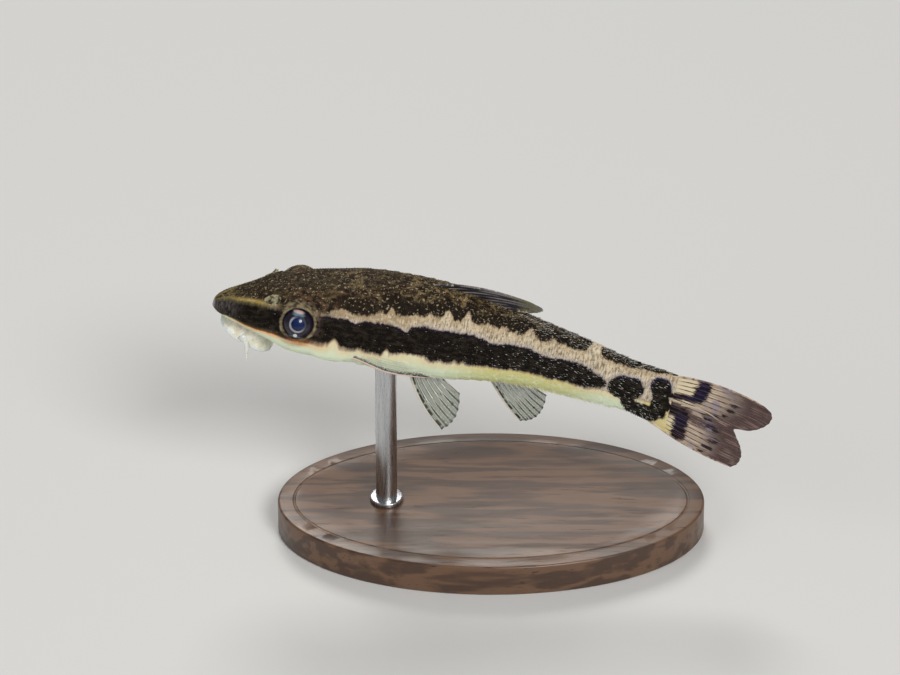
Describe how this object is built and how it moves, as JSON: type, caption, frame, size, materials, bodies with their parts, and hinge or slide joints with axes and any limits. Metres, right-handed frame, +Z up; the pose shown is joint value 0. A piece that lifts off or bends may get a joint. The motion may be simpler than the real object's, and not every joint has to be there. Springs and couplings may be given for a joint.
{
  "type": "otocinclus fish model",
  "caption": "Life-size display model of a small armoured sucker-mouthed catfish with folded dorsal fin, striped flanks and forked tail, held over an oval base by a short rod.",
  "frame": {"origin": "middle of the model's outline on the surface that the base stands on", "axes": "+Z up, the snout towards -X, the fish's left side towards -Y"},
  "size_m": [0.0412, 0.018, 0.0223],
  "materials": {
    "dark_back": "fine bony plates, satin",
    "pale_lip": "moist, satin",
    "eye": "wet gloss",
    "fin": "clear skin with dark ray bars",
    "base_wood": "dark oiled wood",
    "rod_steel": "brushed"
  },
  "bodies": {
    "root": {"head": "dark_back", "torso": "dark_back", "tail": "dark_back", "mouth": "pale_lip", "eye_left": "eye", "eye_right": "eye", "dorsal_fin": "fin", "caudal_fin": "fin", "anal_fin": "fin", "pectoral_fin_left": "fin", "pectoral_fin_right": "fin", "pelvic_fin_left": "fin", "pelvic_fin_right": "fin", "stand_base": "base_wood", "stand_rod": "rod_steel"}
  },
  "joints": []
}
